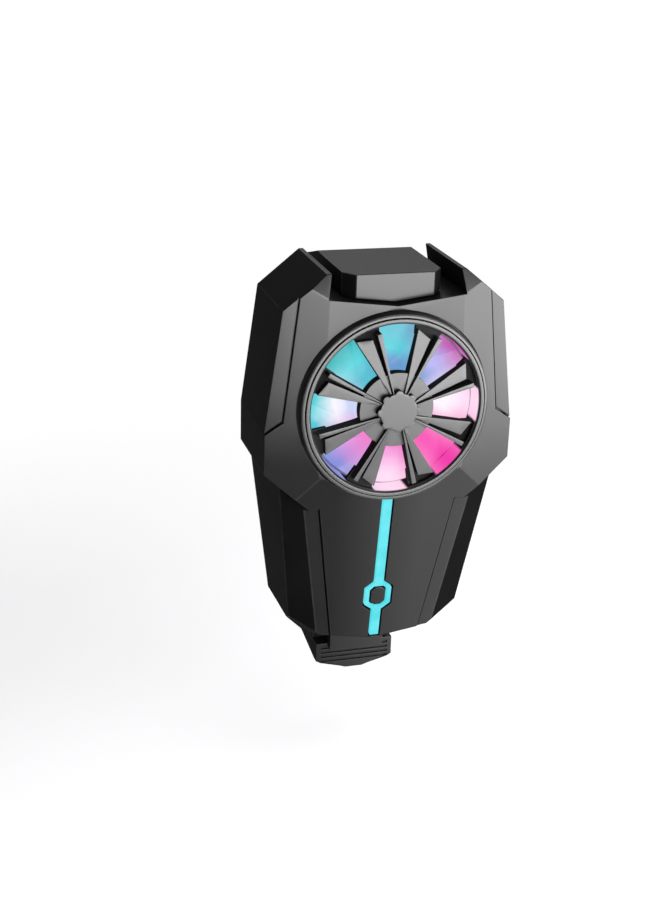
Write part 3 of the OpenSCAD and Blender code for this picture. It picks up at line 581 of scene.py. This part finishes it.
def roundedCopy(node, spec, rule):
    bm = bmesh.new()
    bm.from_mesh(nodes[node].data)
    bmesh.ops.remove_doubles(bm, verts=bm.verts, dist=rule["merge"])
    sharp = sharpEdges(bm, rule["roundFrom"])
    # bevel faces are marked; the shell finishes paint them lighter, part rubbing, part painted highlight
    scuffLitLayer = bm.faces.layers.float.new("edgeScuffAndHighlight")
    for f in bevelled(bm, sharp, spec["round"], 2)["faces"]:
        f[scuffLitLayer] = 1.0
    for e in bm.edges:
        limit = rule["smoothOutside"] if e.is_convex else rule["smoothInside"]
        e.smooth = len(e.link_faces) == 2 and e.calc_face_angle() < math.radians(limit)
    piece = dress(bm, spec["piece"], spec["finish"], spec["body"], node, None)
    even = piece.modifiers.new("evenShade", "WEIGHTED_NORMAL")
    even.keep_sharp = True


for node, spec in roundSpec.items():
    roundedCopy(node, spec, edgeRule)
print("rounded copies made:", len(roundSpec))


# soft pads on the back: one round and crowned, four long with cross ribs

padSpec = {
    "low": -2.0, "ribTall": 0.3, "crown": 0.12, "crownFrom": -1.5,
    "round": {
        "radius": 6.5, "foot": 0.2, "flat": 1.2,
        "shoulder": [(0.03, 1.2), (0.3, 1.62), (0.8, 1.8)],  # in from the radius, up from the foot
        "rings": (4.7, 2.7), "ringWidth": 0.5, "ringFloor": 0.6, "ringDeep": 0.3,
    },
    "long": [(17.55, 3.0, 6.0, 9), (11.9, -30.9, 7.2, 11)],  # x, z, half length, strips
    "halfWidth": 2.0, "corner": 0.7, "edge": 0.22, "rim": 0.32,
}


def roundPad(bm, spec):
    s = spec["round"]
    big, low = s["radius"], spec["low"]
    half = s["ringWidth"] / 2
    line = [(0, low), (big - s["foot"], low), (big, low + s["foot"])]
    line += [(big - inset, low + rise) for inset, rise in s["shoulder"]]
    for ring in s["rings"]:
        top = -spec["crown"] * (ring / big) ** 2
        floor = top - s["ringDeep"]
        slope = half * s["ringFloor"]
        line += [(ring + half, top), (ring + slope, floor), (ring - slope, floor), (ring - half, top)]
    line += [(s["flat"], 0), (0, 0)]
    points = [bm.verts.new((r * mm, y * mm, 0)) for r, y in line]
    edges = [bm.edges.new(pair) for pair in zip(points, points[1:])]
    bmesh.ops.spin(bm, geom=points + edges, cent=(0, 0, 0), axis=(0, 1, 0), angle=math.tau,
                   steps=72, use_merge=True)
    bmesh.ops.remove_doubles(bm, verts=bm.verts, dist=1e-7)


def raiseStrips(bm, face, along, start, end, count, tall, taper=0.72):
    # cuts a face into strips along one axis and raises every second one
    normal = face.normal.copy()
    part = [face]
    for i in range(1, count):
        at = along * (start + (end - start) * i / count)
        geom = part + unique(e for f in part for e in f.edges) + unique(v for f in part for v in f.verts)
        cut = bmesh.ops.bisect_plane(bm, geom=geom, plane_co=at, plane_no=along)
        part = [g for g in cut["geom"] if isinstance(g, bmesh.types.BMFace)]
    part.sort(key=lambda f: f.calc_center_median().dot(along))
    squeeze = Matrix.Scale(taper, 4, along)
    for f in bmesh.ops.extrude_discrete_faces(bm, faces=part[1::2])["faces"]:
        bmesh.ops.translate(bm, verts=f.verts, vec=normal * tall)
        middle = f.calc_center_median()
        bmesh.ops.transform(bm, matrix=squeeze, verts=f.verts, space=Matrix.Translation(-middle))


def backFace(bm):
    # the face that lies furthest back, towards the seat
    return max(bm.faces, key=lambda f: (round(f.calc_center_median().y, 6), f.calc_area()))


def longPad(bm, spec, x, z, half, count):
    low, top = spec["low"], -spec["ribTall"]
    edges = boxOf(bm, (x, (top + low) / 2, z), (2 * spec["halfWidth"], top - low, 2 * half))
    bevelled(bm, [e for e in edges if runsAlong(e, 1)], spec["corner"], 5)
    bevelled(bm, list(backFace(bm).edges), spec["edge"], 3)
    seat = backFace(bm)
    bmesh.ops.inset_region(bm, faces=[seat], thickness=spec["rim"] * mm)
    reach = half - spec["rim"] - spec["edge"]
    along = Vector((0, 0, 1))
    raiseStrips(bm, seat, along, (z - reach) * mm, (z + reach) * mm, count, spec["ribTall"] * mm)


def seatPads(spec):
    whole = bmesh.new()
    roundPad(whole, spec)
    for x, z, half, count in spec["long"]:
        for side in (-1, 1):
            bm = bmesh.new()
            longPad(bm, spec, side * x, z, half, count)
            for v in bm.verts:  # the ends of a pad fall away from its crown
                if v.co.y > spec["crownFrom"] * mm:
                    v.co.y -= spec["crown"] * mm * ((v.co.z - z * mm) / (half * mm)) ** 2
            joinInto(whole, bm)
    bmesh.ops.recalc_face_normals(whole, faces=whole.faces)
    dress(whole, "seatPads", "rubber", "body", "seat_pads", 50)


# ribbed rubber linings of the hook and of the jaw

liningSpec = {
    "hook_lining": {"piece": "hookLining", "body": "body", "bedFaces": -1},  # downwards
    "jaw_lining": {"piece": "jawLining", "body": "jaw", "bedFaces": 1},  # upwards
}
liningShape = {
    "thick": 0.6, "ribTall": 0.3, "bedStrips": 13, "faceStrips": 7, "edge": 0.07, "roundFrom": 30,
}


def nearestFace(bm, place):
    return min(bm.faces, key=lambda f: (f.calc_center_median() - Vector(place) * mm).length)


def ribbedLining(node, spec, shape):
    least, most = nodeBox(node)
    near, wall = least.y, most.y
    inner = wall - shape["thick"]
    back, tip = (least.z, most.z) if spec["bedFaces"] > 0 else (most.z, least.z)
    floor = back + spec["bedFaces"] * shape["thick"]
    bm = bmesh.new()
    outline = [(near, back), (wall, back), (wall, tip), (inner, tip), (inner, floor), (near, floor)]
    start = bm.faces.new([bm.verts.new((least.x * mm, y * mm, z * mm)) for y, z in outline])
    moved = bmesh.ops.extrude_face_region(bm, geom=[start])["geom"]
    end = [g for g in moved if isinstance(g, bmesh.types.BMVert)]
    bmesh.ops.translate(bm, verts=end, vec=((most.x - least.x) * mm, 0, 0))
    bmesh.ops.recalc_face_normals(bm, faces=bm.faces)
    bed = nearestFace(bm, (0, (near + inner) / 2, floor))
    face = nearestFace(bm, (0, inner, (floor + tip) / 2))
    tall = shape["ribTall"] * mm
    raiseStrips(bm, bed, Vector((0, 1, 0)), near * mm, inner * mm, shape["bedStrips"], tall)
    low, high = sorted((floor * mm, tip * mm))
    raiseStrips(bm, face, Vector((0, 0, 1)), low, high, shape["faceStrips"], tall)
    bevelled(bm, sharpEdges(bm, shape["roundFrom"]), shape["edge"], 2)
    dress(bm, spec["piece"], "rubber", spec["body"], node, 40)


seatPads(padSpec)
for node, spec in liningSpec.items():
    ribbedLining(node, spec, liningShape)
print("pads and linings made")


# wound springs on the guide rods, with closed end turns

springSpec = {
    "low": -45.5, "high": -22.92, "wire": 0.25,
    "endTurns": 1, "endPitch": 2.1, "openTurns": 6, "stepsPerTurn": 28, "wireSides": 10,
    "keep": 0.186, "anchorZ": -45.558,
}


def woundSprings(spec):
    least, most = nodeBox("jaw_springs")
    radius = (most.y - least.y) / 2
    rodX, rodY = most.x - radius, (most.y + least.y) / 2
    bm = bmesh.new()
    steps, wire = spec["stepsPerTurn"], spec["wire"]
    endPitch = spec["endPitch"] * wire
    openTall = spec["high"] - spec["low"] - 2 * wire - 2 * spec["endTurns"] * endPitch
    ends = (spec["endTurns"], endPitch)
    runs = [ends, (spec["openTurns"], openTall / spec["openTurns"]), ends]
    upright = Matrix.Rotation(math.pi / 2, 4, "X")
    for side in (-1, 1):
        centre = Vector((side * rodX, rodY, spec["low"] + wire)) * mm
        place = Matrix.Translation(centre + Vector(((radius - wire) * mm, 0, 0))) @ upright
        ring = bmesh.ops.create_circle(bm, radius=wire * mm, segments=spec["wireSides"], matrix=place)
        geom = ring["verts"] + unique(e for v in ring["verts"] for e in v.link_edges)
        for turns, pitch in runs:
            climb = (0, 0, pitch * mm / steps)
            spun = bmesh.ops.spin(bm, geom=geom, cent=centre, axis=(0, 0, 1), dvec=climb,
                                  angle=math.tau * turns, steps=steps * turns)
            geom = spun["geom_last"]
    bmesh.ops.remove_doubles(bm, verts=bm.verts, dist=1e-7)
    bmesh.ops.holes_fill(bm, edges=[e for e in bm.edges if e.is_boundary])
    bmesh.ops.recalc_face_normals(bm, faces=bm.faces)
    piece = dress(bm, "jawSprings", "rod", "body", "jaw_springs", 60)
    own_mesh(piece)


woundSprings(springSpec)
print("springs wound")


# tongue and contacts in the power socket, and the wire on the motor's four poles

tongueSpec = {
    "middleX": 15.38, "size": (5.66, 0.76, 6.64), "edge": 0.12,
    "contacts": 6, "contactPitch": 0.9, "contactLead": 0.6,
    "contactSize": (3.4, 0.05, 0.42), "contactEdge": 0.02,
}
windingSpec = {
    "near": 3.05, "far": 3.93, "turns": 8, "middleY": -15.1, "tall": 6.4, "wide": 2.3,
    "corner": 0.4, "gap": 0.01, "wireEdge": 0.035, "roundFrom": 80,
}


def socketTongue(spec):
    _, y, z = sum(nodeBox("power_socket"), Vector()) / 2
    x = spec["middleX"]
    bm = bmesh.new()
    bevelled(bm, boxOf(bm, (x, y, z), spec["size"]), spec["edge"], 3)
    dress(bm, "socketTongue", "clamp", "body")
    bm = bmesh.new()
    for side in (-1, 1):
        for i in range(spec["contacts"]):
            at = z + (i - (spec["contacts"] - 1) / 2) * spec["contactPitch"]
            middle = (x + spec["contactLead"], y + side * spec["size"][1] / 2, at)
            bevelled(bm, boxOf(bm, middle, spec["contactSize"]), spec["contactEdge"], 3)
    dress(bm, "socketContacts", "brass", "body")


def poleWindings(spec):
    whole = bmesh.new()
    pitch = (spec["far"] - spec["near"]) / spec["turns"]
    size = (pitch - spec["gap"], spec["tall"], spec["wide"])
    for quarter in range(4):
        bm = bmesh.new()
        for i in range(spec["turns"]):
            edges = boxOf(bm, (spec["near"] + pitch * (i + 0.5), spec["middleY"], 0), size)
            bevelled(bm, [e for e in edges if runsAlong(e, 0)], spec["corner"], 3)
        loops = [e for e in bm.edges if e.calc_face_angle(0) > math.radians(spec["roundFrom"])]
        bevelled(bm, loops, spec["wireEdge"], 2)
        turn = Matrix.Rotation(math.pi / 2 * quarter, 3, "Y")
        bmesh.ops.rotate(bm, verts=bm.verts, cent=(0, 0, 0), matrix=turn)
        joinInto(whole, bm)
    dress(whole, "poleWindings", "copper", "body", "stator_windings")


socketTongue(tongueSpec)
poleWindings(windingSpec)
print("socket and windings dressed")


# solids that stay as they are

paintSpec = {
    "fan_blades": "glow", "light_duct": "duct", "rotor_yoke": "steel", "magnet_ring": "ferrite",
    "fan_shaft": "rod", "shaft_clip": "steel", "bearing_bush": "brass", "stator_core": "steel",
    "motor_board": "board", "rgb_leds": "chip", "power_board": "board", "strip_board": "board",
    "strip_leds": "chip", "hook_screws": "steel", "guide_rods": "rod",
}
for node, name in paintSpec.items():
    slots = nodes[node].data.materials
    slots.clear()
    slots.append(finish[name])
print("solids painted:", len(paintSpec))
